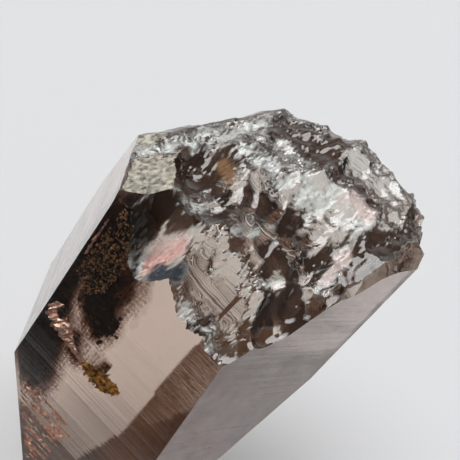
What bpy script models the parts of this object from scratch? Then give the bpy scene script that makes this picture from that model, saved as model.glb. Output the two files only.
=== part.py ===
"""Smoky quartz crystal: a six-sided prism with a broken top, cut off flat at its base.

The long axis of the crystal is Z, and the base lies at z = 0. Sizes are in millimetres
and are turned into metres when the meshes are made.
"""
import math

import bmesh
import bpy
import numpy as np
from mathutils import Matrix, Vector

MM = 0.001
CLEAR_OF_CRYSTAL = 30.0      # how far the block and the cutter reach past the crystal
PLANE_TOLERANCE = 1e-7       # metres

# Heights above the base
BLOCK_HEIGHT = 95.0
CORNER_HEIGHT = 58.6         # the break's lowest corner, between the front and right faces
SHOULDER_HEIGHT = 66.0       # where the left prism face meets the shoulder
FLANK_HEIGHT = 67.4          # where the left flank's distance is measured
STRIP_HEIGHT = 65.8          # the same for the edge strip
HEEL_HEIGHT = 53.1           # the right edge narrows below this
LEFT_FOOT_HEIGHT = 27.6      # where the left prism face meets the lower left face

# Prism faces: azimuth of the outward normal, distance from the axis at CORNER_HEIGHT,
# and the lean of the face towards the top, in degrees
PRISM_FACES = {
    "front": (-90.0, 14.9, 0.0),
    "right": (-30.0, 17.4, 5.1),
    "back right": (30.0, 20.9, -1.7),
    "back": (90.0, 15.7, 2.2),
    "back left": (150.0, 22.1, 0.0),
    "left": (210.0, 19.5, 0.9),
}

# Smaller faces: azimuth, distance from the axis, height of that distance, and lean
SMALL_FACES = {
    "shoulder": (215.0, 19.3, SHOULDER_HEIGHT, 50.0),
    "left flank": (160.0, 18.8, FLANK_HEIGHT, 16.3),
    "edge strip": (257.3, 17.1, STRIP_HEIGHT, 1.4),
    "right heel": (30.0, 20.8, HEEL_HEIGHT, -10.1),
    "lower left": (206.0, 19.6, LEFT_FOOT_HEIGHT, -30.0),
}

# A long flake is gone from the back right edge: it left a flat face, and a ledge above it
EDGE_SCAR_AZIMUTH = 60.0
EDGE_SCAR_DISTANCE = 16.8
EDGE_SCAR_TOP = 47.0         # the ledge starts at this height
EDGE_SCAR_LEANS = (2.2, -35.0)   # of the face and of the ledge

# The break before any flake left it: a bowed sheet that climbs to the back right
BREAK_RISE = 19.4            # above CORNER_HEIGHT, on the axis
BREAK_SLOPE = (0.124, 0.629)
BREAK_BOW = (-0.0206, 0.0162, -0.0251)
# High spots on it: x, y, radius and height
KNOLLS = [
    (-11.5, -12.5, 6.0, 6.0),
    (-19.0, -3.0, 5.0, 2.0),
    (20.0, 4.0, 6.0, 3.4),
    (-9.5, 15.0, 4.5, 2.6),
    (8.0, 15.5, 6.0, 0.8),
]

# Flake scars: x, y, long and short radius, turn in degrees, and depth
FLAKE_SCARS = [
    (6.4, -2.4, 10.5, 9.0, 20.0, 3.4),       # the main bowl
    (3.2, -13.4, 6.8, 5.6, 0.0, 3.6),        # the smooth window
    (-8.8, -5.4, 6.6, 4.4, 113.0, 4.2),      # the brown hollow
    (-6.0, -6.4, 5.4, 4.2, 20.0, 2.3),
    (-6.0, -15.5, 5.3, 5.0, 0.0, 6.0),       # the rippled front
    (10.2, -2.6, 4.4, 3.4, 60.0, 4.4),        # the deep pit
    (12.6, -7.6, 5.0, 4.0, 70.0, 3.9),
    (9.0, -12.6, 5.0, 3.8, 40.0, 2.7),
    (0.5, -2.0, 5.4, 3.0, 15.0, 1.9),
    (-2.5, 4.8, 7.5, 5.0, 30.0, 1.5),        # the silvery crescent
    (5.8, 3.4, 6.0, 4.0, 35.0, 1.4),
    (8.4, 8.8, 5.6, 4.4, 20.0, 1.3),
    (15.0, 4.4, 4.4, 3.6, 60.0, 1.2),
    (14.4, -0.4, 3.2, 2.6, 70.0, 0.9),
    (-12.6, 3.4, 4.6, 3.0, 60.0, 1.2),
]

# Small flakes off the back rim: spacing along it, radius and depth
RIM_FLAKE_SPACING = 3.1
RIM_FLAKE_RADIUS = (1.2, 3.6)
RIM_FLAKE_DEPTH = (0.2, 1.0)
RIM_HALF_LENGTH = 11.1       # how far they run from the middle of each face
RIM_FACES = ("back left", "back", "back right")
RIM_SEED = 7

GRID_STEP = 0.8              # spacing of the break's points

SMOKY_BROWN = (0.36, 0.25, 0.19, 1.0)
POLISH = 0.06
QUARTZ_IOR = 1.544


def clear_scene():
    """Remove every object, so the script can be run again."""
    for obj in list(bpy.data.objects):
        bpy.data.objects.remove(obj, do_unlink=True)


def new_collection(name):
    """A collection under the scene's own."""
    collection = bpy.data.collections.new(name)
    bpy.context.scene.collection.children.link(collection)
    return collection


def quartz_material():
    """Smoky quartz, as natural faces leave it: glassy and brown."""
    material = bpy.data.materials.new("smoky_quartz")
    material.use_nodes = True
    shader = material.node_tree.nodes["Principled BSDF"]
    shader.inputs["Base Color"].default_value = SMOKY_BROWN
    shader.inputs["Roughness"].default_value = POLISH
    shader.inputs["Metallic"].default_value = 0.0
    shader.inputs["IOR"].default_value = QUARTZ_IOR
    return material


def face_plane(azimuth, distance, height, lean):
    """A point on a crystal face and the face's outward normal."""
    turn = math.radians(azimuth)
    tip = math.radians(lean)
    outward = Vector((math.cos(turn), math.sin(turn), 0.0))
    point = outward * distance + Vector((0.0, 0.0, height))
    normal = outward * math.cos(tip) + Vector((0.0, 0.0, math.sin(tip)))
    return point * MM, normal


def cut_face(bm, point, normal):
    """Cut a flat face on the solid, with this outward normal, and close it."""
    geometry = bm.verts[:] + bm.edges[:] + bm.faces[:]
    cut = bmesh.ops.bisect_plane(
        bm, geom=geometry, dist=PLANE_TOLERANCE, plane_co=point, plane_no=normal, clear_outer=True)
    rim = [item for item in cut["geom_cut"] if isinstance(item, bmesh.types.BMEdge)]
    bmesh.ops.contextual_create(bm, geom=rim)


def make_block(lowest, highest):
    """A block around the axis that reaches past the crystal's sides."""
    bm = bmesh.new()
    width = 2.0 * CLEAR_OF_CRYSTAL
    size = Matrix.Diagonal((width * MM, width * MM, (highest - lowest) * MM, 1.0))
    lift = Matrix.Translation((0.0, 0.0, 0.5 * (lowest + highest) * MM))
    bmesh.ops.create_cube(bm, size=1.0, matrix=lift @ size)
    return bm


def make_prism():
    """The crystal with all its flat faces, and its top still whole."""
    bm = make_block(0.0, BLOCK_HEIGHT)
    for azimuth, distance, lean in PRISM_FACES.values():
        cut_face(bm, *face_plane(azimuth, distance, CORNER_HEIGHT, lean))
    for azimuth, distance, height, lean in SMALL_FACES.values():
        cut_face(bm, *face_plane(azimuth, distance, height, lean))
    bmesh.ops.recalc_face_normals(bm, faces=bm.faces)
    return bm


def make_edge_scar_cutter():
    """What the long flake took away: everything outside the scar's face and its ledge."""
    bm = make_block(-CLEAR_OF_CRYSTAL, BLOCK_HEIGHT)
    for lean in EDGE_SCAR_LEANS:
        point, outward = face_plane(EDGE_SCAR_AZIMUTH, EDGE_SCAR_DISTANCE, EDGE_SCAR_TOP, lean)
        cut_face(bm, point, -outward)
    bmesh.ops.recalc_face_normals(bm, faces=bm.faces)
    return bm


def whole_break(x, y):
    """Height of the bowed break above the base, before its flake scars."""
    slope_x, slope_y = BREAK_SLOPE
    bow_xx, bow_xy, bow_yy = BREAK_BOW
    sheet = slope_x * x + slope_y * y + bow_xx * x * x + bow_xy * x * y + bow_yy * y * y
    for knoll_x, knoll_y, radius, rise in KNOLLS:
        sheet = sheet + rise * np.exp(-((x - knoll_x) ** 2 + (y - knoll_y) ** 2) / radius ** 2)
    return CORNER_HEIGHT + BREAK_RISE + sheet


def rim_scars():
    """Small flakes knocked off the back rim, one after another along each face."""
    draw = np.random.default_rng(RIM_SEED)
    scars = []
    for name in RIM_FACES:
        azimuth, distance, lean = PRISM_FACES[name]
        turn = math.radians(azimuth)
        for along in np.arange(-RIM_HALF_LENGTH, RIM_HALF_LENGTH, RIM_FLAKE_SPACING):
            x = distance * math.cos(turn) - along * math.sin(turn)
            y = distance * math.sin(turn) + along * math.cos(turn)
            radius = draw.uniform(*RIM_FLAKE_RADIUS)
            scars.append((x, y, radius, radius, 0.0, draw.uniform(*RIM_FLAKE_DEPTH)))
    return scars


def broken_height(x, y):
    """Height of the break: each flake scar is a shallow bowl, and the deepest one shows."""
    top = whole_break(x, y)
    depth = np.zeros_like(top)
    for scar_x, scar_y, long_radius, short_radius, turn, scar_depth in FLAKE_SCARS + rim_scars():
        angle = math.radians(turn)
        along = (x - scar_x) * math.cos(angle) + (y - scar_y) * math.sin(angle)
        across = (y - scar_y) * math.cos(angle) - (x - scar_x) * math.sin(angle)
        reach = (along / long_radius) ** 2 + (across / short_radius) ** 2
        depth = np.maximum(depth, scar_depth * (1.0 - reach))
    return top - depth


def make_break_cutter():
    """Everything above the break, as one closed solid."""
    bm = bmesh.new()
    steps = int(2.0 * CLEAR_OF_CRYSTAL / GRID_STEP)
    bmesh.ops.create_grid(bm, x_segments=steps, y_segments=steps, size=CLEAR_OF_CRYSTAL * MM)
    spots = np.array([vert.co[:] for vert in bm.verts]) / MM
    heights = broken_height(spots[:, 0], spots[:, 1])
    for vert, height in zip(bm.verts, heights):
        vert.co.z = height * MM
    sheet = bm.faces[:]
    raised = bmesh.ops.extrude_face_region(bm, geom=sheet)
    for item in raised["geom"]:
        if isinstance(item, bmesh.types.BMVert):
            item.co.z = (BLOCK_HEIGHT + CLEAR_OF_CRYSTAL) * MM
    bmesh.ops.recalc_face_normals(bm, faces=bm.faces)
    return bm


def mesh_object(name, bm, collection):
    """Turn a finished bmesh into an object."""
    mesh = bpy.data.meshes.new(name)
    bm.to_mesh(mesh)
    bm.free()
    obj = bpy.data.objects.new(name, mesh)
    collection.objects.link(obj)
    return obj


def main():
    clear_scene()
    parts = new_collection("smoky_quartz_crystal")
    cutters = new_collection("cutters")

    crystal = mesh_object("crystal", make_prism(), parts)
    crystal.data.materials.append(quartz_material())

    broken_away = {
        "edge_scar_cutter": make_edge_scar_cutter(),
        "break_cutter": make_break_cutter(),
    }
    for name, shape in broken_away.items():
        cutter = mesh_object(name, shape, cutters)
        cutter.hide_render = True
        cutter.display_type = "WIRE"
        loss = crystal.modifiers.new(name, "BOOLEAN")
        loss.operation = "DIFFERENCE"
        loss.solver = "EXACT"
        loss.object = cutter


main()
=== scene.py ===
"""Looks of the smoky quartz crystal: the clear stone, its break, its flaws, and a plain studio."""
import math

import bmesh
import bpy
import numpy as np
from mathutils import Matrix, Vector


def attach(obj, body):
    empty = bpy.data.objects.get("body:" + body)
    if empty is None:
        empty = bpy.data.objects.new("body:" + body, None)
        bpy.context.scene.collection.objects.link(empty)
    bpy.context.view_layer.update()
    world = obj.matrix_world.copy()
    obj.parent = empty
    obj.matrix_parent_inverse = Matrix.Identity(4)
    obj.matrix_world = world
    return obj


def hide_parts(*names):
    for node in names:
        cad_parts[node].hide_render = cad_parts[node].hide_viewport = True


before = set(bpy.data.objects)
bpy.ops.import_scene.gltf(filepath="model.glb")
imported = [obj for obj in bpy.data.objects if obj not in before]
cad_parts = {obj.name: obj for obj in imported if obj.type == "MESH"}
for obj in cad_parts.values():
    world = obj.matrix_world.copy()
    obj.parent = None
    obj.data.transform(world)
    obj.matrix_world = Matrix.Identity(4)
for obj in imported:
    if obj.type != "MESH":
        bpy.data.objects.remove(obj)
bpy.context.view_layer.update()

MM = 0.001
PLANE_TOLERANCE = 1e-7       # metres
SMOOTH_BELOW = 28.0          # degrees: edges that turn more than this look sharp

# The crystal's flat faces, as in the solid: azimuth, distance from the axis, height of that
# distance and lean, in millimetres and degrees
CORNER_HEIGHT = 58.6
BLOCK_HEIGHT = 95.0
BLOCK_REACH = 30.0           # how far the block and the cutters reach past the axis
FLAT_FACES = {
    "front": (-90.0, 14.9, CORNER_HEIGHT, 0.0),
    "right": (-30.0, 17.4, CORNER_HEIGHT, 5.1),
    "back right": (30.0, 20.9, CORNER_HEIGHT, -1.7),
    "back": (90.0, 15.7, CORNER_HEIGHT, 2.2),
    "back left": (150.0, 22.1, CORNER_HEIGHT, 0.0),
    "left": (210.0, 19.5, CORNER_HEIGHT, 0.9),
    "shoulder": (215.0, 19.3, 66.0, 50.0),
    "left flank": (160.0, 18.8, 67.4, 16.3),
    "edge strip": (257.3, 17.1, 65.8, 1.4),
    "right heel": (30.0, 20.8, 53.1, -10.1),
    "lower left": (206.0, 19.6, 27.6, -30.0),
}

# The scar of the long flake off the back right edge, as in the solid
EDGE_SCAR_AZIMUTH = 60.0
EDGE_SCAR_DISTANCE = 16.8
EDGE_SCAR_TOP = 47.0
EDGE_SCAR_LEANS = (2.2, -35.0)   # of the face and of the ledge

# Finish of each flat face; the ones not named here are plain growth faces
FACE_FINISH = {
    "base": "sawn base",
    "right": "etched",
    "left": "etched",
    "left flank": "bruised",
    "shoulder": "bruised",
    # the lower left face's dark film is painted shade
    "lower left": "stained",
    "right heel": "weathered",
    "back left": "weathered",
}
# The finishes: share of the surface that scatters light instead of letting it in, its
# colour, roughness, and how strongly the growth lines show
FINISHES = {
    "growth": (0.0, "E8DCD4", 0.02, 1.0),
    "etched": (0.48, "DCD2D0", 0.08, 1.0),
    "bruised": (0.54, "CCC8B8", 0.35, 0.0),
    # painted shade: a dark brown film for the shade that rays leaving through the lower left face would
    # find
    "stained": (0.50, "54321F", 0.12, 1.0),
    "weathered": (0.35, "6A5040", 0.12, 1.0),
    # the sawn base is ground matt, and its dark brown is partly painted shade, for the shaded floor
    # under the crystal
    "sawn base": (0.95, "7E6250", 0.85, 0.0),
    "break": (0.0, "DDE2DF", 0.015, 0.0),
}
FINISH_ORDER = list(FINISHES)

# The stone itself: its refraction, and what light loses in it, per metre
QUARTZ_IOR = 1.544
NOISE_SPAN = (0.35, 0.65)    # where most of the noise texture's values lie
SMOKE_COLOUR = (0.74, 0.51, 0.34, 1.0)
SMOKE_DENSITY = 15.5

# The break, as in the solid: its rise and bow, then the high spots as x, y, radius and
# height, then the flake scars as x, y, two radii, turn in degrees and depth
BREAK_RISE = 19.4
BREAK_SLOPE = (0.124, 0.629)
BREAK_BOW = (-0.0206, 0.0162, -0.0251)
KNOLLS = [
    (-11.5, -12.5, 6.0, 6.0),
    (-19.0, -3.0, 5.0, 2.0),
    (20.0, 4.0, 6.0, 3.4),
    (-9.5, 15.0, 4.5, 2.6),
    (8.0, 15.5, 6.0, 0.8),
]
FLAKE_SCARS = [
    (6.4, -2.4, 10.5, 9.0, 20.0, 3.4),       # the main bowl
    (3.2, -13.4, 6.8, 5.6, 0.0, 3.6),        # the smooth window
    (-8.8, -5.4, 6.6, 4.4, 113.0, 4.2),      # the brown hollow
    (-6.0, -6.4, 5.4, 4.2, 20.0, 2.3),
    (-6.0, -15.5, 5.3, 5.0, 0.0, 6.0),       # the rippled front
    (10.2, -2.6, 4.4, 3.4, 60.0, 4.4),       # the deep pit
    (12.6, -7.6, 5.0, 4.0, 70.0, 3.9),
    (9.0, -12.6, 5.0, 3.8, 40.0, 2.7),
    (0.5, -2.0, 5.4, 3.0, 15.0, 1.9),
    (-2.5, 4.8, 7.5, 5.0, 30.0, 1.5),        # the silvery crescent
    (5.8, 3.4, 6.0, 4.0, 35.0, 1.4),
    (8.4, 8.8, 5.6, 4.4, 20.0, 1.3),
    (15.0, 4.4, 4.4, 3.6, 60.0, 1.2),
    (14.4, -0.4, 3.2, 2.6, 70.0, 0.9),
    (-12.6, 3.4, 4.6, 3.0, 60.0, 1.2),
]
RIM_FACES = ("back left", "back", "back right")
RIM_FLAKE_SPACING = 3.1
RIM_FLAKE_RADIUS = (1.2, 3.6)
RIM_FLAKE_DEPTH = (0.2, 1.0)
RIM_HALF_LENGTH = 11.1
RIM_SEED = 7

# Fine relief of the break: seeded chips of three sizes, as count, span of radii, depth for
# the radius, and tilt; the smaller two show most where the hackle is strong
BREAK_REACH = (24.0, 16.8)
FINE_STEP = 0.22
FLAKE_SIZES = [
    (340, (1.6, 4.2), 0.32, 1.00),
    (700, (0.9, 2.2), 0.26, 0.95),
    (2600, (0.35, 0.9), 0.26, 0.90),
]
FLAKE_SEED = 11
CHIPS_CALMED = 0.9           # how much of the largest chips a smooth zone takes away
CHIPS_EVERYWHERE = 0.35      # how much of the middle chips shows outside the hackle
# Zones on the break, each a capsule: ends, radius and strength. Their borders are ragged by
# waves: length, height and seed
ZONE_RAGS = ((2.6, 0.55, 21), (0.9, 0.35, 22))
ZONE_REACH = 1.15            # radii from the middle line to the border
ZONE_EDGE = 1.6              # how sharp the border is
HACKLE_ZONES = [
    ((-9.0, 7.0), (14.0, 11.0), 5.5, 1.0),       # along the back rim
    ((-7.8, 3.4), (6.7, 2.3), 2.8, 0.8),         # the silvery crescent
    ((6.7, 2.3), (13.0, 2.8), 2.2, 0.9),
    ((12.9, -4.2), (12.4, 0.4), 1.8, 1.0),       # the ragged ridge
    ((3.1, -14.8), (9.0, -14.4), 1.6, 1.0),      # the front lip
    ((-5.2, -14.4), (-3.0, -12.0), 1.9, 0.9),    # the pale patch
    ((-7.0, -12.5), (-9.6, -10.5), 2.4, 0.5),
    ((-17.0, -4.6), (-13.4, 0.4), 2.4, 1.0),     # beside the shoulder
]
SMOOTH_ZONES = [
    ((-0.2, -12.6), (6.6, -11.9), 3.5, 1.0),      # the clear window
    ((-10.6, -6.6), (-7.4, -4.4), 3.0, 0.7),     # the brown hollow
]
# White bruising on the break, partly a painted highlight where the break shines: share that scatters,
# roughness, and how it gathers in streaks
FROST_AND_HIGHLIGHT_SHARE = 0.85
FROST_ROUGHNESS = 0.38
FROST_CONTRAST = 2.6
FROST_FLOOR = 0.48
FROST_SEED = 71
FROST_AND_HIGHLIGHT_ZONES = [
    ((-13.6, 2.6), (-9.4, 8.0), 2.6, 0.6),
    ((-17.0, -4.6), (-13.4, 0.4), 2.2, 0.9),     # beside the shoulder
    ((-7.6, 1.0), (-3.6, 1.6), 2.4, 1.0),        # the silvery crescent
    ((-3.6, 1.6), (4.6, 2.6), 2.0, 1.0),
    # the white fan is a painted highlight
    ((6.0, 4.0), (11.6, 4.0), 1.7, 1.0),         # the white fan
    ((-9.0, 7.6), (-1.0, 7.4), 2.4, 0.5),
    ((14.2, -3.4), (12.6, 1.0), 0.9, 1.0),       # the ragged ridge
    ((3.0, -14.7), (8.6, -14.5), 1.0, 1.0),
    ((-5.6, -14.2), (-4.0, -12.0), 1.6, 1.0),
    ((-8.6, -10.6), (-5.6, -8.6), 1.4, 0.6),
    ((7.6, -8.0), (8.9, -6.4), 0.9, 0.7),
    ((-0.4, -7.4), (2.2, -5.2), 0.7, 0.8),
]
# Painted shade on the break: a thin dark glossy film where the break looks dark
PAINTED_SHADE_COLOUR = "33231A"
PAINTED_SHADE_SHARE = 0.85           # share that scatters
PAINTED_SHADE_FREE = 0.25            # share of the chips that stay clear
PAINTED_SHADE_EDGE = 6.0             # how quickly the stain sets in beyond that share
PAINTED_SHADE_TONE = 4.0             # its colour is full at one part in this many of its cover
PAINTED_SHADE_ZONES = [
    ((-10.4, -6.4), (-8.0, -1.6), 3.6, 1.0),     # the brown hollow
    ((-6.0, -4.6), (-3.6, -7.4), 2.2, 0.7),
    ((-1.8, -3.2), (5.0, -1.4), 1.9, 1.0),       # below the crescent
    ((9.2, -1.6), (11.4, -0.6), 2.3, 1.0),       # the deep pit
    ((9.6, -4.4), (13.6, -5.8), 2.4, 1.0),
    ((5.2, -5.4), (7.0, -6.4), 1.4, 1.0),
    ((11.0, -7.4), (9.0, -10.6), 1.7, 0.9),
    ((-6.0, 9.6), (15.0, 8.6), 3.2, 0.9),        # behind the crescent
    ((14.0, 2.6), (18.0, 6.5), 2.6, 0.9),
    ((3.4, -15.0), (10.0, -13.4), 1.6, 0.7),
    ((-9.2, -12.2), (-5.4, -10.0), 1.8, 1.0),    # between the hollow and the pink patch
]
# Coloured films on the break: colour, share that scatters, and zones
TINTED_FILMS = [
    ("F0C2BA", 0.70, [((-5.2, -13.2), (-3.4, -12.4), 1.35, 1.0)]),   # the pink patch
    ("EBD6D2", 0.60, [((8.0, 5.2), (11.4, 5.4), 1.3, 0.8),           # pinkish frost
                      ((13.6, -2.0), (13.0, 0.4), 0.9, 0.8)]),
    ("3E464E", 0.75, [((-2.9, -14.4), (-1.0, -13.9), 1.1, 1.0)]),    # blue-grey facets
    ("7E5C3C", 0.45, [((-8.4, -1.3), (-5.2, -4.0), 0.75, 1.0)]),     # the hollow's tan edge
]

# Hackle streaks fan out from where the break began
STREAK_ORIGIN = (-3.0, -16.0)
STREAK_WIDTH = 0.55
STREAK_LENGTH = 4.5
STREAK_DEPTH = 0.10
STREAK_FAN = 14.0            # distance from the origin where they have that width
STREAK_BEND = 0.4            # how far they wave about, and over what length
STREAK_BEND_LENGTH = 2.5
STREAK_SEED = 51
# Ridges between flakes are bruised white, partly a painted highlight along their edges: this begins at
# a bend, per millimetre, and is full a span further on, and it is broken up by waves: length, contrast,
# floor and seed
RIDGE_PROBE = 0.22
RIDGE_START = 0.165
RIDGE_SPAN = 0.55
RIDGE_GAIN = 0.95
RIDGE_WAVES = (1.6, 2.2, 0.3, 61)
# Ripples around the point where each crack began: x, y, reach, spacing and height
RIPPLES = [
    (-13.0, -3.0, 5.0, 0.62, 0.055),
    (-4.0, -9.0, 7.5, 0.80, 0.070),
    (9.6, 0.2, 5.0, 0.70, 0.050),
    (3.0, -8.0, 6.0, 0.95, 0.035),
]
RIPPLE_WAVES = (3.0, 0.25, 31)   # length, height and seed of their unevenness
RIPPLE_CALM = 0.7                # how much of them a smooth zone takes away

# Growth lines across the flat faces: where they run, their number, width and step
GROWTH_SPAN = (2.0, 79.0)
GROWTH_LINES = 46
GROWTH_LINE_WIDTH = 0.16
GROWTH_STEP = 0.035
GROWTH_SEED = 5
# Bump for the finer lines: its noise scale, strength and height in metres
LINE_SCALE = (30.0, 30.0, 2200.0)
LINE_STRENGTH = 0.55
LINE_BUMP = 0.0001
# Bump for the grain of dull stone: noise scale, height in metres, the span of dullness over
# which it sets in, and its full strength; and the span over which the films turn mottled
GRAIN_SCALE = 1800.0
GRAIN_BUMP = 0.0004
GRAIN_SETS_IN = (0.18, 0.36)
GRAIN_STRENGTH = 0.6
MOTTLE_SETS_IN = (0.20, 0.34)

# Flaws inside the stone: places as x and z in millimetres, and y is their depth. First the
# golden grains: their outline, depths, number and sizes
GRAIN_OUTLINE = [(-12.2, 65.0), (-13.2, 49.0), (-9.8, 47.6), (-7.8, 51.0), (-7.2, 58.5)]
GRAIN_DEPTHS = (-14.0, -12.8)
GRAIN_COUNT = 800
GRAIN_SIZES = (0.06, 0.32)
# The dark cloud: its box, and the middle, two radii and thickness of each thick spot
CLOUD_BOX = ((-15.0, -0.5), (20.0, 68.0))
CLOUD_SPOTS = [
    (-9.4, 51.5, 3.2, 3.4, 1.1), (-6.0, 45.6, 2.2, 3.2, 1.15), (-8.4, 47.6, 2.6, 2.6, 1.0),
    (-11.0, 58.0, 2.6, 6.5, 0.75), (-7.0, 52.5, 3.2, 4.6, 0.55), (-12.6, 50.0, 1.6, 5.0, 0.7),
    (-13.0, 41.5, 2.0, 4.5, 0.95), (-11.6, 33.0, 3.0, 6.5, 0.95), (-9.4, 27.0, 2.6, 4.5, 0.7),
    (-6.6, 36.4, 2.0, 1.6, 0.6), (0.8, 36.4, 2.8, 1.3, 0.75),
]
CLOUD_SEED = 81
CLOUD_WAVES = (2.2, 0.55)    # length of its coarse and fine waves
CLOUD_FLOOR, CLOUD_COARSE, CLOUD_FINE = 0.8, 0.9, 0.35
CLOUD_EDGE = 0.05            # the fine waves act only where it is thicker than this
THIN_DUST = "3E2818"
THICK_DUST = "24140A"
DUST_HAZE = "9A6A4A"         # what light that passes through thick dust looks like
# Its sheets of dust: depth and strength of each, and how they bulge: length, height and seed
VEILS = [(-12.9, 1.0), (-11.2, 0.8), (-9.4, 0.7)]
VEIL_STEP = 0.25
VEIL_SLIDE = 0.4             # how far each slides aside for its depth
VEIL_BULGE = (3.0, 0.9, 83)
VEIL_EDGE = 0.03             # dust thinner than this is left out
# Its dark cores: lumps in each, their depths, sizes and spread, and the cores' places and radii
CORE_LUMPS = 110
LUMP_DEPTHS = (-12.5, -9.0)
LUMP_SIZES = (0.2, 1.0)
LUMP_SPREAD = (0.4, 0.45)
# Lumps and grains alike: largest lean, span of narrowness, how dented; and each kind's flatness
LUMP_LEAN = 0.9
LUMP_NARROWNESS = (0.35, 0.8)
LUMP_DENT = 0.22
LUMP_FLATNESS = 0.4
GRAIN_FLATNESS = 0.5
CLOUD_CORES = [((-9.4, 51.0), 2.6), ((-5.4, 45.2), 2.4), ((-8.0, 46.5), 2.2)]
# Crumpled ribbons of film: spacing of their points along and across, the way they lie across,
# how far those points stray, and the length and slope of their folds
RIBBON_STEP = 0.3
RIBBON_COLUMNS = 5
RIBBON_ACROSS = (0.5, 0.37, 0.87)
RIBBON_STRAY = 0.08
RIBBON_FRAY = (0.7, 1.25)
RIBBON_FOLD = 1.1
RIBBON_FOLD_SLOPE = -0.25
# The coppery crack, its amber end, a strip of the same film, and the copper-coloured bars, which are a
# painted highlight for light that comes through steps in the lower left face
CRACK_PATH = [(-13.9, 41.2), (-12.4, 40.3), (-11.3, 39.8), (-8.6, 38.4), (-6.3, 37.5), (-4.6, 36.9)]
CRACK_WIDTHS = (3.0, 4.4, 3.5, 2.0, 0.9, 0.4)
CRACK_DEPTH = -13.5
CRACK_CRUMPLE = 0.15
AMBER_PATH = [(-4.4, 36.9), (-2.7, 37.4), (-0.6, 37.2), (1.2, 37.2), (2.8, 37.4)]
AMBER_WIDTHS = (1.1, 3.0, 4.0, 3.4, 1.6)
AMBER_DEPTH = -13.3
AMBER_CRUMPLE = 0.35
STRIP_PATH = [(-13.3, 61.0), (-13.4, 57.0), (-13.4, 53.5)]
STRIP_WIDTHS = (0.5, 0.9, 0.6)
STRIP_DEPTH = -13.6
BAR_COUNT = 90
BAR_BOX = ((-11.5, -1.5), (9.0, 24.5))
BAR_LENGTHS = (1.0, 3.6)
BAR_WIDTHS = (0.2, 0.8)
BAR_DEPTH = -12.6
BAR_CRUMPLE = 0.06
FLAW_SEED = 3
FLAW_CLEARANCE = 0.4         # how far inside the flat faces every flaw stays

# Studio: the floor lies just under the base, and in front of the crystal it has painted shade that only
# reflections see
FLOOR_SIZE = 3.0                 # metres either way
FLOOR_GAP = 0.0004               # metres
PAPER = "CFD0D2"
SHADED_PAPER = "4A4744"          # what reflections find in front, in the camera's shade
SHADE_REACH = (-55.0, -22.0)
# The big soft light: where it is, its strength and that of the rest, and where it fades, as
# the cosine of the angle from its middle; the small bright window is given the same way
LIGHT_FROM = (-0.30, 0.75, 0.60)
LIGHT_BRIGHT = 1.25
LIGHT_DIM = 0.20
LIGHT_FADE = (0.55, 0.95)
WINDOW_FROM = (-0.50, -0.40, 0.77)
WINDOW_BRIGHT = 8.0
WINDOW_FADE = (0.91, 0.965)
DAYLIGHT = (0.99, 0.985, 0.98, 1.0)

# Camera, from the fit of the prism to the photograph
FRAME_SIDE = 460
CAMERA_PLACE = (13.47, -85.16, 121.7)
CAMERA_RIGHT = (0.71061, 0.47687, 0.51733)
CAMERA_DOWN = (0.68816, -0.31793, -0.65220)
CAMERA_AHEAD = (-0.14654, 0.81946, -0.55409)
FOCAL_PIXELS = 700.4
SENSOR = 36.0
CLIP_START = 0.001

# Light is followed through this many refractions and reflections
STONE_BOUNCES = 24
MIRROR_BOUNCES = 16


def srgb(code):
    """A hex colour as linear RGB with alpha."""
    values = [int(code[i:i + 2], 16) / 255.0 for i in (0, 2, 4)]
    linear = [v / 12.92 if v <= 0.04045 else ((v + 0.055) / 1.055) ** 2.4 for v in values]
    return (*linear, 1.0)


def new_material(name):
    """An empty node material and its output node."""
    material = bpy.data.materials.new(name)
    material.use_nodes = True
    material.node_tree.nodes.clear()
    output = material.node_tree.nodes.new("ShaderNodeOutputMaterial")
    return material, output


def add(owner, kind, settings=None, inputs=None):
    """Add a node to a material or world, with settings, and values or links for its inputs."""
    tree = owner.node_tree
    node = tree.nodes.new(kind)
    for key, value in (settings or {}).items():
        setattr(node, key, value)
    for key, value in (inputs or {}).items():
        if isinstance(value, bpy.types.NodeSocket):
            tree.links.new(value, node.inputs[key])
        else:
            node.inputs[key].default_value = value
    return node


def face_plane(azimuth, distance, height, lean):
    """A point on a crystal face and the face's outward normal."""
    turn = math.radians(azimuth)
    tip = math.radians(lean)
    outward = Vector((math.cos(turn), math.sin(turn), 0.0))
    point = outward * distance + Vector((0.0, 0.0, height))
    normal = outward * math.cos(tip) + Vector((0.0, 0.0, math.sin(tip)))
    return point * MM, normal


def slice_mesh(bm, point, normal, clear=False, finish="growth"):
    """Cut the mesh along a plane, and close it where the outer part is cleared."""
    geometry = bm.verts[:] + bm.edges[:] + bm.faces[:]
    cut = bmesh.ops.bisect_plane(
        bm, geom=geometry, dist=PLANE_TOLERANCE, plane_co=point, plane_no=normal, clear_outer=clear)
    if clear:
        rim = [item for item in cut["geom_cut"] if isinstance(item, bmesh.types.BMEdge)]
        made = bmesh.ops.contextual_create(bm, geom=rim)
        for face in made["faces"]:
            face.material_index = FINISH_ORDER.index(finish)


def make_block(lowest, highest):
    """A block around the axis that reaches past the crystal's sides."""
    bm = bmesh.new()
    width = 2.0 * BLOCK_REACH
    size = Matrix.Diagonal((width * MM, width * MM, (highest - lowest) * MM, 1.0))
    lift = Matrix.Translation((0.0, 0.0, 0.5 * (lowest + highest) * MM))
    bmesh.ops.create_cube(bm, size=1.0, matrix=lift @ size)
    return bm


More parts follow.
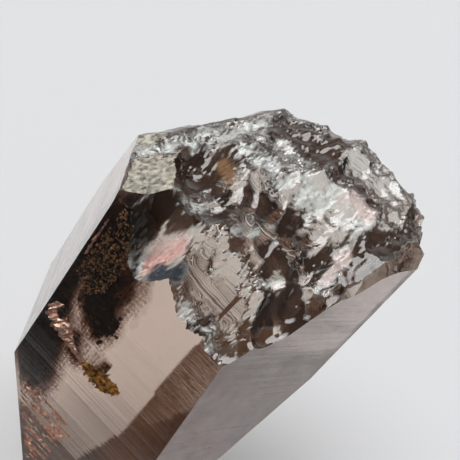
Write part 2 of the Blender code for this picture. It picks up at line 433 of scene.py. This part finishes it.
def draw_growth_lines(bm):
    """Step the sides in and out a little, at fine lines across the crystal's length."""
    draw = np.random.default_rng(GROWTH_SEED)
    heights = np.sort(draw.uniform(*GROWTH_SPAN, GROWTH_LINES))
    steps = draw.uniform(-GROWTH_STEP, 0.0, GROWTH_LINES + 1)
    knots, offsets = [0.0], [steps[0]]
    for height, below, above in zip(heights, steps[:-1], steps[1:]):
        for lift, offset in ((0.0, below), (GROWTH_LINE_WIDTH, above)):
            slice_mesh(bm, Vector((0.0, 0.0, (height + lift) * MM)), Vector((0.0, 0.0, 1.0)))
            knots.append(height + lift)
            offsets.append(offset)
    for vert in bm.verts:
        offset = np.interp(vert.co.z / MM, knots, offsets)
        flat = Vector((vert.co.x, vert.co.y, 0.0))
        vert.co -= flat.normalized() * (-offset * MM)


def make_prism():
    """The flat-faced crystal."""
    bm = make_block(0.0, BLOCK_HEIGHT)
    for face in bm.faces:
        face.material_index = FINISH_ORDER.index("sawn base")
    for name, face in FLAT_FACES.items():
        slice_mesh(bm, *face_plane(*face), clear=True, finish=FACE_FINISH.get(name, "growth"))
    draw_growth_lines(bm)
    return bm


def make_edge_scar_cutter():
    """What the long flake took away: everything outside the scar's face and its ledge."""
    bm = make_block(-BLOCK_REACH, BLOCK_HEIGHT)
    for lean in EDGE_SCAR_LEANS:
        point, outward = face_plane(EDGE_SCAR_AZIMUTH, EDGE_SCAR_DISTANCE, EDGE_SCAR_TOP, lean)
        slice_mesh(bm, point, -outward, clear=True)
    bmesh.ops.recalc_face_normals(bm, faces=bm.faces)
    return bm


def rim_scars():
    """The small flakes off the back rim, as in the solid."""
    draw = np.random.default_rng(RIM_SEED)
    scars = []
    for name in RIM_FACES:
        azimuth, distance = FLAT_FACES[name][:2]
        turn = math.radians(azimuth)
        for along in np.arange(-RIM_HALF_LENGTH, RIM_HALF_LENGTH, RIM_FLAKE_SPACING):
            x = distance * math.cos(turn) - along * math.sin(turn)
            y = distance * math.sin(turn) + along * math.cos(turn)
            radius = draw.uniform(*RIM_FLAKE_RADIUS)
            scars.append((x, y, radius, radius, 0.0, draw.uniform(*RIM_FLAKE_DEPTH)))
    return scars


def whole_break(x, y):
    """Height of the bowed break, before its flake scars."""
    slope_x, slope_y = BREAK_SLOPE
    bow_xx, bow_xy, bow_yy = BREAK_BOW
    sheet = slope_x * x + slope_y * y + bow_xx * x * x + bow_xy * x * y + bow_yy * y * y
    for knoll_x, knoll_y, radius, rise in KNOLLS:
        sheet = sheet + rise * np.exp(-((x - knoll_x) ** 2 + (y - knoll_y) ** 2) / radius ** 2)
    return CORNER_HEIGHT + BREAK_RISE + sheet


def broken_height(x, y):
    """Height of the break with its flake scars."""
    depth = np.zeros_like(x)
    for scar_x, scar_y, long_radius, short_radius, turn, scar_depth in FLAKE_SCARS + rim_scars():
        angle = math.radians(turn)
        along = (x - scar_x) * math.cos(angle) + (y - scar_y) * math.sin(angle)
        across = (y - scar_y) * math.cos(angle) - (x - scar_x) * math.sin(angle)
        reach = (along / long_radius) ** 2 + (across / short_radius) ** 2
        depth = np.maximum(depth, scar_depth * (1.0 - reach))
    return whole_break(x, y) - depth


def waves(x, y, length, seed, count=7):
    """Soft seeded unevenness, from about 0 to 1, over this length in millimetres."""
    draw = np.random.default_rng(seed)
    total = np.zeros_like(x)
    for _ in range(count):
        turn, shift = draw.uniform(0.0, 2.0 * math.pi, 2)
        pace = 2.0 * math.pi / (length * draw.uniform(0.6, 1.7))
        total += np.sin(pace * (x * math.cos(turn) + y * math.sin(turn)) + shift)
    return 0.5 + 0.5 * total / math.sqrt(count)


def zone_strength(x, y, zones):
    """How strongly these capsule zones act at each point, with ragged borders."""
    ragged = sum(height * (waves(x, y, length, seed) - 0.5) for length, height, seed in ZONE_RAGS)
    strength = np.zeros_like(x)
    for (x_a, y_a), (x_b, y_b), radius, top in zones:
        run_x, run_y = x_b - x_a, y_b - y_a
        share = ((x - x_a) * run_x + (y - y_a) * run_y) / (run_x ** 2 + run_y ** 2)
        share = np.clip(share, 0.0, 1.0)
        away = np.hypot(x - x_a - share * run_x, y - y_a - share * run_y) / radius
        inside = np.clip(ZONE_EDGE * (ZONE_REACH + ragged - away), 0.0, 1.0)
        strength = np.maximum(strength, top * inside)
    return strength


def streaks(x, y, seed):
    """Seeded streaks that fan out over the break, from about 0 to 1."""
    start_x, start_y = STREAK_ORIGIN
    away = np.hypot(x - start_x, y - start_y)
    around = STREAK_FAN * np.arctan2(y - start_y, x - start_x)
    stretch = STREAK_WIDTH / STREAK_LENGTH
    bent = around + STREAK_BEND * waves(x, y, STREAK_BEND_LENGTH, seed + 1)
    return waves(bent, away * stretch, STREAK_WIDTH, seed, count=9)


def flake_field(x, y, count, radii, depth, tilt, seed):
    """Many small overlapping scars, each a tilted shallow bowl: the deepest one shows.

    Returns the depth, and a seeded value from 0 to 1 that is the same all over each scar.
    """
    draw = np.random.default_rng(seed)
    values = np.random.default_rng(seed + 100).uniform(0.0, 1.0, count)
    reach_x, reach_y = BREAK_REACH
    field, owner = np.zeros_like(x), np.full_like(x, 0.5)
    for number in range(count):
        spot_x, spot_y = draw.uniform(-reach_x, reach_x), draw.uniform(-reach_y, reach_y)
        radius = draw.uniform(*radii)
        turn, lean = draw.uniform(0.0, 2.0 * math.pi), tilt * draw.uniform(0.4, 1.0)
        near = np.flatnonzero((np.abs(x - spot_x) < radius) & (np.abs(y - spot_y) < radius))
        along, across = (x[near] - spot_x) / radius, (y[near] - spot_y) / radius
        bowl = np.maximum(1.0 - along ** 2 - across ** 2, 0.0)
        bowl *= 1.0 + lean * (along * math.cos(turn) + across * math.sin(turn))
        deeper = near[depth * radius * bowl > field[near]]
        owner[deeper] = values[number]
        field[near] = np.maximum(field[near], depth * radius * bowl)
    return field, owner


def fine_relief(x, y):
    """Depth of the fine chips, ripples and hackle on the break."""
    hackle = zone_strength(x, y, HACKLE_ZONES)
    smooth = zone_strength(x, y, SMOOTH_ZONES)
    middle = CHIPS_EVERYWHERE + (1.0 - CHIPS_EVERYWHERE) * hackle
    weights = (1.0 - CHIPS_CALMED * smooth, middle * (1.0 - smooth), hackle)
    depth = STREAK_DEPTH * hackle * np.abs(2.0 * streaks(x, y, STREAK_SEED) - 1.0)
    for number, (sizes, weight) in enumerate(zip(FLAKE_SIZES, weights)):
        depth += weight * flake_field(x, y, *sizes, seed=FLAKE_SEED + number)[0]
    length, unevenness, seed = RIPPLE_WAVES
    for spot_x, spot_y, reach, spacing, height in RIPPLES:
        away = np.hypot(x - spot_x, y - spot_y) + unevenness * waves(x, y, length, seed)
        fade = np.clip(1.0 - away / reach, 0.0, 1.0) ** 0.6
        calm = 1.0 - RIPPLE_CALM * smooth
        depth += height * fade * calm * np.abs(np.sin(math.pi * away / spacing))
    return depth


def surface_height(x, y):
    """Height of the break with all its relief."""
    return broken_height(x, y) - fine_relief(x, y)


def ridge_wear_and_highlight(x, y):
    """How bruised the ridges between flakes are, partly a painted highlight along their edges: the
    sharper the ridge, the whiter.
    """
    step = RIDGE_PROBE
    around = (surface_height(x + step, y) + surface_height(x - step, y)
              + surface_height(x, y + step) + surface_height(x, y - step))
    bend = (4.0 * surface_height(x, y) - around) / (4.0 * step)
    length, contrast, floor, seed = RIDGE_WAVES
    broken_up = np.clip(contrast * (waves(x, y, length, seed) - floor), 0.0, 1.0)
    return np.clip((bend - RIDGE_START) / RIDGE_SPAN, 0.0, 1.0) * RIDGE_GAIN * broken_up


def make_break_cutter():
    """Everything above the break, as one closed solid."""
    bm = bmesh.new()
    reach_x, reach_y = BREAK_REACH
    columns, rows = int(2.0 * reach_x / FINE_STEP), int(2.0 * reach_y / FINE_STEP)
    bmesh.ops.create_grid(bm, x_segments=columns, y_segments=rows, size=1.0)
    bmesh.ops.scale(bm, vec=(reach_x * MM, reach_y * MM, 1.0), verts=bm.verts)
    spots = np.array([vert.co[:] for vert in bm.verts]) / MM
    heights = surface_height(spots[:, 0], spots[:, 1])
    for vert, height in zip(bm.verts, heights):
        vert.co.z = height * MM
    raised = bmesh.ops.extrude_face_region(bm, geom=bm.faces[:])
    for item in raised["geom"]:
        if isinstance(item, bmesh.types.BMVert):
            item.co.z = (BLOCK_HEIGHT + BLOCK_REACH) * MM
    bmesh.ops.recalc_face_normals(bm, faces=bm.faces)
    return bm


def mesh_object(name, bm):
    """Turn a finished bmesh into an object of the scene."""
    mesh = bpy.data.meshes.new(name)
    bm.to_mesh(mesh)
    bm.free()
    obj = bpy.data.objects.new(name, mesh)
    bpy.context.scene.collection.objects.link(obj)
    return obj


def cut_away(body, cutter):
    """Take the cutter's space out of the body, and remove the cutter."""
    step = body.modifiers.new("cut", "BOOLEAN")
    step.operation = "DIFFERENCE"
    step.solver = "EXACT"
    step.material_mode = "TRANSFER"
    step.object = cutter
    shape = bpy.data.meshes.new_from_object(body.evaluated_get(bpy.context.evaluated_depsgraph_get()))
    body.modifiers.clear()
    body.data = shape
    bpy.data.objects.remove(cutter, do_unlink=True)


def patchy(material, scale_mm, low, high, detail=4.0):
    """Soft noise over the crystal, stretched between two values; returns its socket."""
    place = add(material, "ShaderNodeTexCoord")
    cloud = add(material, "ShaderNodeTexNoise", inputs={
        "Vector": place.outputs["Object"], "Scale": 1.0 / (scale_mm * MM), "Detail": detail})
    spread = add(material, "ShaderNodeMapRange", inputs={
        "Value": cloud.outputs["Fac"], "From Min": NOISE_SPAN[0], "From Max": NOISE_SPAN[1],
        "To Min": low, "To Max": high})
    return spread.outputs["Result"]


def multiply(material, one, other):
    """One value or socket times another, kept between 0 and 1."""
    product = add(material, "ShaderNodeMath", {"operation": "MULTIPLY", "use_clamp": True}, {
        0: one, 1: other})
    return product.outputs["Value"]


def growth_line_bump(material):
    """Faint lines across the crystal's length, finer than the modelled ones."""
    place = add(material, "ShaderNodeTexCoord")
    squeeze = add(material, "ShaderNodeMapping", inputs={
        "Vector": place.outputs["Object"], "Scale": LINE_SCALE})
    lines = add(material, "ShaderNodeTexNoise", inputs={
        "Vector": squeeze.outputs["Vector"], "Scale": 1.0, "Detail": 3.0})
    grown = add(material, "ShaderNodeAttribute", {"attribute_name": "lines"})
    bump = add(material, "ShaderNodeBump", inputs={
        "Height": lines.outputs["Fac"], "Distance": LINE_BUMP,
        "Strength": multiply(material, grown.outputs["Fac"], LINE_STRENGTH)})
    return bump.outputs["Normal"]


def frost_bump(material, dull, normal):
    """The grain of bruised and frosted stone, where the finish is dull."""
    place = add(material, "ShaderNodeTexCoord")
    grain = add(material, "ShaderNodeTexNoise", inputs={
        "Vector": place.outputs["Object"], "Scale": GRAIN_SCALE, "Detail": 6.0})
    thick = add(material, "ShaderNodeMapRange", inputs={
        "Value": dull.outputs["Fac"], "From Min": GRAIN_SETS_IN[0], "From Max": GRAIN_SETS_IN[1],
        "To Min": 0.0, "To Max": GRAIN_STRENGTH})
    bump = add(material, "ShaderNodeBump", inputs={
        "Height": grain.outputs["Fac"], "Strength": thick.outputs["Result"], "Distance": GRAIN_BUMP,
        "Normal": normal})
    return bump.outputs["Normal"]


def smoky_quartz():
    """Natural quartz with a smoky brown body: glassy, with films and bruises that scatter, some of them
    painted shade and painted highlight.
    """
    material, output = new_material("smoky_quartz_natural")
    film = add(material, "ShaderNodeAttribute", {"attribute_name": "film"})
    colour = add(material, "ShaderNodeAttribute", {"attribute_name": "film_colour"})
    dull = add(material, "ShaderNodeAttribute", {"attribute_name": "dullness"})
    rough_stone = add(material, "ShaderNodeMapRange", inputs={
        "Value": dull.outputs["Fac"],
        "From Min": MOTTLE_SETS_IN[0], "From Max": MOTTLE_SETS_IN[1]})
    mottled = add(material, "ShaderNodeMix", {"data_type": "FLOAT"}, {
        "Factor": rough_stone.outputs["Result"], "A": 1.0,
        "B": patchy(material, 0.8, 0.15, 1.5, detail=6.0)})
    film_share = multiply(material, film.outputs["Fac"], mottled.outputs["Result"])
    scattering = multiply(material, film_share, patchy(material, 3.5, 0.80, 1.10, detail=3.0))
    clear_share = add(material, "ShaderNodeMath", {"operation": "SUBTRACT"}, {0: 1.0, 1: scattering})
    shader = add(material, "ShaderNodeBsdfPrincipled", inputs={
        "Base Color": colour.outputs["Color"],
        "Roughness": multiply(material, dull.outputs["Fac"], patchy(material, 1.5, 0.7, 1.3)),
        "IOR": QUARTZ_IOR,
        "Transmission Weight": clear_share.outputs["Value"],
        "Normal": frost_bump(material, dull, growth_line_bump(material)),
    })
    absorb = add(material, "ShaderNodeVolumeAbsorption", inputs={
        "Color": SMOKE_COLOUR, "Density": SMOKE_DENSITY})
    material.node_tree.links.new(shader.outputs["BSDF"], output.inputs["Surface"])
    material.node_tree.links.new(absorb.outputs["Volume"], output.inputs["Volume"])
    return material


def note_finish(mesh):
    """Turn the finish of each face into values that the one material reads."""
    finish_of_face = np.empty(len(mesh.polygons), dtype=np.int32)
    mesh.polygons.foreach_get("material_index", finish_of_face)
    corners_of_face = np.empty(len(mesh.polygons), dtype=np.int32)
    mesh.polygons.foreach_get("loop_total", corners_of_face)
    finish = np.repeat(finish_of_face, corners_of_face)
    point_of_corner = np.empty(len(mesh.loops), dtype=np.int32)
    mesh.loops.foreach_get("vertex_index", point_of_corner)
    spots = np.empty(3 * len(mesh.vertices))
    mesh.vertices.foreach_get("co", spots)
    spots = spots.reshape(-1, 3)[:, :2] / MM

    table = [FINISHES[name] for name in FINISH_ORDER]
    film, dullness, lines = (np.array([row[part] for row in table])[finish] for part in (0, 2, 3))
    colour = np.array([srgb(row[1]) for row in table])[finish]
    # Frost: white bruising, partly a painted highlight where the break shines
    frost = zone_strength(spots[:, 0], spots[:, 1], FROST_AND_HIGHLIGHT_ZONES)
    streaked = streaks(spots[:, 0], spots[:, 1], FROST_SEED)
    frost *= np.clip(FROST_CONTRAST * streaked - FROST_FLOOR, 0.0, 1.0)
    frost = np.maximum(frost, ridge_wear_and_highlight(spots[:, 0], spots[:, 1]))[point_of_corner]
    on_break = finish == FINISH_ORDER.index("break")
    frost *= on_break
    # Painted shade: a dark film on the break where it looks dark, broken up by the chips and kept off
    # the frost
    chip = flake_field(spots[:, 0], spots[:, 1], *FLAKE_SIZES[0], seed=FLAKE_SEED)[1]
    uneven = np.clip(PAINTED_SHADE_EDGE * (chip - PAINTED_SHADE_FREE), 0.0, 1.0)
    stain = (zone_strength(spots[:, 0], spots[:, 1], PAINTED_SHADE_ZONES) * uneven)[point_of_corner]
    stain *= on_break * (1.0 - frost)
    tone = np.clip(PAINTED_SHADE_TONE * stain, 0.0, 1.0)[:, None]
    colour += tone * (np.array(srgb(PAINTED_SHADE_COLOUR)) - colour)
    film += FROST_AND_HIGHLIGHT_SHARE * frost + PAINTED_SHADE_SHARE * stain
    dullness += FROST_ROUGHNESS * frost
    for code, share, zones in TINTED_FILMS:
        tint = zone_strength(spots[:, 0], spots[:, 1], zones)[point_of_corner] * on_break
        colour += tint[:, None] * (np.array(srgb(code)) - colour)
        film = np.maximum(film, share * tint)
    for name, values in (("film", film), ("dullness", dullness), ("lines", lines)):
        layer = mesh.attributes.new(name, "FLOAT", "CORNER")
        layer.data.foreach_set("value", values.astype(np.float32))
    layer = mesh.attributes.new("film_colour", "FLOAT_COLOR", "CORNER")
    layer.data.foreach_set("color", colour.astype(np.float32).ravel())
    mesh.polygons.foreach_set("material_index", np.zeros(len(mesh.polygons), dtype=np.int32))
    mesh.materials.clear()
    mesh.materials.append(smoky_quartz())


def make_crystal():
    """The whole stone with its break, in place of the plain solid."""
    crystal = mesh_object("smoky_quartz", make_prism())
    markers = [bpy.data.materials.new(name) for name in FINISH_ORDER]
    for marker in markers:
        crystal.data.materials.append(marker)
    scar = mesh_object("edge_scar_cutter", make_edge_scar_cutter())
    scar.data.materials.append(markers[FINISH_ORDER.index("growth")])
    top = mesh_object("break_cutter", make_break_cutter())
    top.data.materials.append(markers[FINISH_ORDER.index("break")])
    for cutter in (scar, top):
        cut_away(crystal, cutter)
    note_finish(crystal.data)
    for marker in markers:
        bpy.data.materials.remove(marker)
    crystal.data.shade_smooth()
    crystal.data.set_sharp_from_angle(angle=math.radians(SMOOTH_BELOW))
    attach(crystal, "root")
    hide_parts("crystal")


def inside_stone(place):
    """Whether a place keeps clear of all the crystal's flat faces, on the inside."""
    for face in FLAT_FACES.values():
        point, normal = face_plane(*face)
        if (place - point).dot(normal) > -FLAW_CLEARANCE * MM:
            return False
    return True


def inside_outline(x, z, outline):
    """Whether a place lies inside a closed outline."""
    inside = False
    for (x_a, z_a), (x_b, z_b) in zip(outline, outline[1:] + outline[:1]):
        if (z_a > z) != (z_b > z) and x < x_a + (z - z_a) * (x_b - x_a) / (z_b - z_a):
            inside = not inside
    return inside


def spots_in_outline(draw, count, outline, depths):
    """Seeded places inside an outline, at depths behind the front face."""
    low_x, high_x = min(x for x, z in outline), max(x for x, z in outline)
    low_z, high_z = min(z for x, z in outline), max(z for x, z in outline)
    spots = []
    while len(spots) < count:
        x, z = draw.uniform(low_x, high_x), draw.uniform(low_z, high_z)
        if inside_outline(x, z, outline):
            spots.append((x, draw.uniform(*depths), z))
    return spots


def finish_flaw(name, bm, material):
    """A flaw inside the stone becomes an object that rides in the crystal."""
    flaw = mesh_object(name, bm)
    flaw.data.materials.append(material)
    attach(flaw, "root")


def make_flakes(name, spots, sizes, flatness, draw, material):
    """Small flat lumps, one at each place, joined in one mesh that rides in the crystal."""
    bm = bmesh.new()
    for spot in spots:
        size = draw.uniform(*sizes)
        turn = Matrix.Rotation(draw.uniform(-math.pi, math.pi), 4, "Y")
        lean = Matrix.Rotation(draw.uniform(-LUMP_LEAN, LUMP_LEAN), 4, "Z")
        narrow = size * draw.uniform(*LUMP_NARROWNESS)
        shape = Matrix.Diagonal((size, size * flatness, narrow, 1.0))
        place = Matrix.Translation(Vector(spot)) @ lean @ turn @ shape
        made = bmesh.ops.create_icosphere(bm, subdivisions=1, radius=1.0, matrix=place)
        for vert in made["verts"]:
            vert.co += Vector(draw.uniform(-LUMP_DENT, LUMP_DENT, 3)) * size
    bmesh.ops.scale(bm, vec=(MM, MM, MM), verts=bm.verts)
    bmesh.ops.recalc_face_normals(bm, faces=bm.faces)
    finish_flaw(name, bm, material)


def mineral(name, dark, light, metallic, roughness, scale_mm):
    """An iron-stained mineral flake or film, or a bright film for a painted highlight: two colours
    mixed in patches.
    """
    material, output = new_material(name)
    mixed = add(material, "ShaderNodeMix", {"data_type": "RGBA"}, {
        "Factor": patchy(material, scale_mm, 0.0, 1.0)})
    mixed.inputs["A"].default_value = srgb(dark)
    mixed.inputs["B"].default_value = srgb(light)
    shader = add(material, "ShaderNodeBsdfPrincipled", inputs={
        "Base Color": mixed.outputs["Result"], "Metallic": metallic, "Roughness": roughness,
        "Specular IOR Level": 0.15})
    material.node_tree.links.new(shader.outputs["BSDF"], output.inputs["Surface"])
    return material


def make_ribbons(name, ribbons, crumple, draw, material):
    """Crumpled ribbons of film, each along a path of x and z, with a width at each point."""
    across_x, across_y, across_z = RIBBON_ACROSS
    bm = bmesh.new()
    for path, widths, depth in ribbons:
        runs = [math.dist(one, other) for one, other in zip(path, path[1:])]
        knots = np.concatenate([[0.0], np.cumsum(runs)])
        steps = max(4, int(knots[-1] / RIBBON_STEP))
        rows = []
        for along in np.linspace(0.0, knots[-1], steps):
            x = np.interp(along, knots, [point[0] for point in path])
            z = np.interp(along, knots, [point[1] for point in path])
            half = 0.5 * np.interp(along, knots, widths)
            frayed = draw.uniform(*RIBBON_FRAY, 2) * half
            fold = RIBBON_FOLD_SLOPE * (along % RIBBON_FOLD)
            places = np.linspace(-frayed[0], frayed[1], 1 + RIBBON_COLUMNS)
            rows.append([bm.verts.new(Vector((
                x + across_x * place + draw.uniform(-RIBBON_STRAY, RIBBON_STRAY),
                depth + fold + across_y * place + draw.uniform(-crumple, crumple),
                z + across_z * place + draw.uniform(-RIBBON_STRAY, RIBBON_STRAY))) * MM)
                for place in places])
        for row, following in zip(rows, rows[1:]):
            for corner in range(RIBBON_COLUMNS):
                corners = (row[corner], row[corner + 1], following[corner + 1], following[corner])
                if all(inside_stone(vert.co) for vert in corners):
                    bm.faces.new(corners)
    bmesh.ops.delete(bm, geom=[vert for vert in bm.verts if not vert.link_faces], context="VERTS")
    finish_flaw(name, bm, material)


def cloud_cover(x, z):
    """How thick the dark veil is at each place behind the front face, from 0 to 1."""
    cover = np.zeros_like(x)
    for spot_x, spot_z, radius_x, radius_z, top in CLOUD_SPOTS:
        away = ((x - spot_x) / radius_x) ** 2 + ((z - spot_z) / radius_z) ** 2
        cover = np.maximum(cover, top * np.exp(-away))
    coarse = waves(x, z, CLOUD_WAVES[0], CLOUD_SEED)
    fine = waves(x, z, CLOUD_WAVES[1], CLOUD_SEED + 1, count=12)
    uneven = CLOUD_FINE * (fine - 0.5) * (cover > CLOUD_EDGE)
    return np.clip(cover * (CLOUD_FLOOR + CLOUD_COARSE * coarse) + uneven, 0.0, 1.0)


def veil_material():
    """Fine brown mineral dust in the stone: black where it is thick, clear where it is thin."""
    material, output = new_material("goethite_dust")
    cover = add(material, "ShaderNodeAttribute", {"attribute_name": "cover"})
    tint = add(material, "ShaderNodeMix", {"data_type": "RGBA"}, {"Factor": cover.outputs["Fac"]})
    tint.inputs["A"].default_value = srgb(THIN_DUST)
    tint.inputs["B"].default_value = srgb(THICK_DUST)
    dust = add(material, "ShaderNodeBsdfDiffuse", inputs={"Color": tint.outputs["Result"]})
    haze = add(material, "ShaderNodeMix", {"data_type": "RGBA"}, {
        "Factor": multiply(material, cover.outputs["Fac"], 2.0)})
    haze.inputs["A"].default_value = srgb("FFFFFF")
    haze.inputs["B"].default_value = srgb(DUST_HAZE)
    gap = add(material, "ShaderNodeBsdfTransparent", inputs={"Color": haze.outputs["Result"]})
    grain = patchy(material, 0.5, 0.7, 1.6, detail=8.0)
    mixed = add(material, "ShaderNodeMixShader", inputs={
        0: multiply(material, cover.outputs["Fac"], grain),
        1: gap.outputs["BSDF"], 2: dust.outputs["BSDF"]})
    material.node_tree.links.new(mixed.outputs["Shader"], output.inputs["Surface"])
    return material


def make_veils():
    """Sheets of dust, one behind the other, that make the dark cloud."""
    bm = bmesh.new()
    cover_layer = bm.verts.layers.float.new("cover")
    (low_x, high_x), (low_z, high_z) = CLOUD_BOX
    length, height, seed = VEIL_BULGE
    for depth, share in VEILS:
        xs = np.arange(low_x, high_x, VEIL_STEP)
        zs = np.arange(low_z, high_z, VEIL_STEP)
        grid_x, grid_z = np.meshgrid(xs, zs)
        slid = VEIL_SLIDE * (depth - VEILS[0][0])
        cover = share * cloud_cover(grid_x + slid, grid_z - slid)
        bulge = depth + height * (waves(grid_x, grid_z, length, seed) - 0.5)
        verts = []
        for place_x, place_y, place_z, amount in zip(
                grid_x.ravel(), bulge.ravel(), grid_z.ravel(), cover.ravel()):
            vert = bm.verts.new(Vector((place_x, place_y, place_z)) * MM)
            vert[cover_layer] = amount
            verts.append(vert)
        wide = len(xs)
        for row in range(len(zs) - 1):
            for column in range(wide - 1):
                first = row * wide + column
                corners = [verts[first], verts[first + 1], verts[first + wide + 1], verts[first + wide]]
                thick = max(corner[cover_layer] for corner in corners) > VEIL_EDGE
                if thick and all(inside_stone(corner.co) for corner in corners):
                    bm.faces.new(corners)
    bmesh.ops.delete(bm, geom=[vert for vert in bm.verts if not vert.link_faces], context="VERTS")
    finish_flaw("dark_cloud", bm, veil_material())


def make_flaws():
    """The dark mineral cloud, the coppery crack with its amber end, and the copper films, of which the
    bars are a painted highlight.
    """
    draw = np.random.default_rng(FLAW_SEED)
    dark = mineral("goethite_inclusion", "2A170B", "55341C", 0.0, 0.6, 0.9)
    gold = mineral("golden_rutile_grain", "4A2C16", "E0B88C", 0.5, 0.35, 0.5)
    copper = mineral("iron_stained_crack", "D89878", "FFF4EC", 0.9, 0.33, 0.35)
    # The bars' film is a painted highlight
    bright = mineral("painted_highlight_copper_film", "C8784C", "FFDCC0", 0.8, 0.33, 0.8)
    amber = mineral("limonite_stain", "5A3410", "FFC85A", 0.5, 0.33, 0.7)
    make_veils()
    lumps = []
    spread_x, spread_z = LUMP_SPREAD
    for (core_x, core_z), radius in CLOUD_CORES:
        for _ in range(CORE_LUMPS):
            lumps.append((draw.normal(core_x, spread_x * radius), draw.uniform(*LUMP_DEPTHS),
                          draw.normal(core_z, spread_z * radius)))
    make_flakes("dark_lumps", lumps, LUMP_SIZES, LUMP_FLATNESS, draw, dark)
    grains = spots_in_outline(draw, GRAIN_COUNT, GRAIN_OUTLINE, GRAIN_DEPTHS)
    make_flakes("golden_grains", grains, GRAIN_SIZES, GRAIN_FLATNESS, draw, gold)
    make_ribbons("coppery_crack", [
        (CRACK_PATH, CRACK_WIDTHS, CRACK_DEPTH),
        (STRIP_PATH, STRIP_WIDTHS, STRIP_DEPTH),
    ], CRACK_CRUMPLE, draw, copper)
    make_ribbons("amber_end", [(AMBER_PATH, AMBER_WIDTHS, AMBER_DEPTH)],
                 AMBER_CRUMPLE, draw, amber)
    # The bars are a painted highlight: bright copper films for light that comes through steps in the
    # lower left face
    bars = []
    (low_x, high_x), (low_z, high_z) = BAR_BOX
    for _ in range(BAR_COUNT):
        start_x, height = draw.uniform(low_x, high_x), draw.uniform(low_z, high_z)
        reach, width = draw.uniform(*BAR_LENGTHS), draw.uniform(*BAR_WIDTHS)
        path = [(start_x, height), (start_x + reach, height)]
        bars.append((path, (width, width), BAR_DEPTH))
    make_ribbons("copper_bars_painted_highlight", bars, BAR_CRUMPLE, draw, bright)


def soft_light(world, middle, fade, dim, bright):
    """A round patch of light in the sky, with a soft edge; returns its socket."""
    way = add(world, "ShaderNodeTexCoord")
    toward = add(world, "ShaderNodeVectorMath", {"operation": "DOT_PRODUCT"}, {
        0: way.outputs["Generated"], 1: Vector(middle).normalized()})
    glow = add(world, "ShaderNodeMapRange", {"interpolation_type": "SMOOTHSTEP"}, {
        "Value": toward.outputs["Value"], "From Min": fade[0], "From Max": fade[1],
        "To Min": dim, "To Max": bright})
    return glow.outputs["Result"]


def make_floor():
    """A wide sheet of matt paper just under the crystal, with painted shade in front of it that only
    reflections see.
    """
    bm = bmesh.new()
    bmesh.ops.create_grid(bm, x_segments=1, y_segments=1, size=FLOOR_SIZE)
    bmesh.ops.translate(bm, vec=(0.0, 0.0, -FLOOR_GAP), verts=bm.verts)
    floor = mesh_object("floor", bm)
    material, output = new_material("matt_paper_with_painted_shade")
    place = add(material, "ShaderNodeTexCoord")
    apart = add(material, "ShaderNodeSeparateXYZ", inputs={0: place.outputs["Object"]})
    # Painted shade: the paper turns darker in front of the crystal, standing for the camera's shade,
    # and camera rays always see it plain
    lit = add(material, "ShaderNodeMapRange", {"interpolation_type": "SMOOTHSTEP"}, {
        "Value": apart.outputs["Y"],
        "From Min": SHADE_REACH[0] * MM, "From Max": SHADE_REACH[1] * MM})
    path = add(material, "ShaderNodeLightPath")
    seen = add(material, "ShaderNodeMath", {"operation": "MAXIMUM"}, {
        0: lit.outputs["Result"], 1: path.outputs["Is Camera Ray"]})
    paper = add(material, "ShaderNodeMix", {"data_type": "RGBA"}, {"Factor": seen.outputs["Value"]})
    paper.inputs["A"].default_value = srgb(SHADED_PAPER)
    paper.inputs["B"].default_value = srgb(PAPER)
    shader = add(material, "ShaderNodeBsdfPrincipled", inputs={
        "Base Color": paper.outputs["Result"],
        "Roughness": 0.9,
    })
    material.node_tree.links.new(shader.outputs["BSDF"], output.inputs["Surface"])
    floor.data.materials.append(material)


def make_light():
    """Soft daylight from behind and above, and a small bright window."""
    world = bpy.data.worlds.new("studio")
    bpy.context.scene.world = world
    world.use_nodes = True
    background = world.node_tree.nodes["Background"]
    background.inputs["Color"].default_value = DAYLIGHT
    glow = soft_light(world, LIGHT_FROM, LIGHT_FADE, LIGHT_DIM, LIGHT_BRIGHT)
    window = soft_light(world, WINDOW_FROM, WINDOW_FADE, 0.0, WINDOW_BRIGHT)
    both = add(world, "ShaderNodeMath", {"operation": "ADD"}, {0: glow, 1: window})
    world.node_tree.links.new(both.outputs["Value"], background.inputs["Strength"])


def make_camera():
    """The camera that took the photograph, as fitted."""
    camera_data = bpy.data.cameras.new("camera")
    camera_data.sensor_width = SENSOR
    camera_data.lens = FOCAL_PIXELS / FRAME_SIDE * SENSOR
    camera_data.clip_start = CLIP_START
    camera = bpy.data.objects.new("camera", camera_data)
    columns = (Vector(CAMERA_RIGHT), -Vector(CAMERA_DOWN), -Vector(CAMERA_AHEAD))
    turn = Matrix(columns).transposed().to_4x4()
    camera.matrix_world = Matrix.Translation(Vector(CAMERA_PLACE) * MM) @ turn
    bpy.context.scene.collection.objects.link(camera)
    bpy.context.scene.camera = camera


make_crystal()
make_flaws()
make_floor()
make_light()
make_camera()
scene = bpy.context.scene
scene.view_settings.view_transform = "Standard"
scene.cycles.max_bounces = STONE_BOUNCES
scene.cycles.transmission_bounces = STONE_BOUNCES
scene.cycles.glossy_bounces = MIRROR_BOUNCES
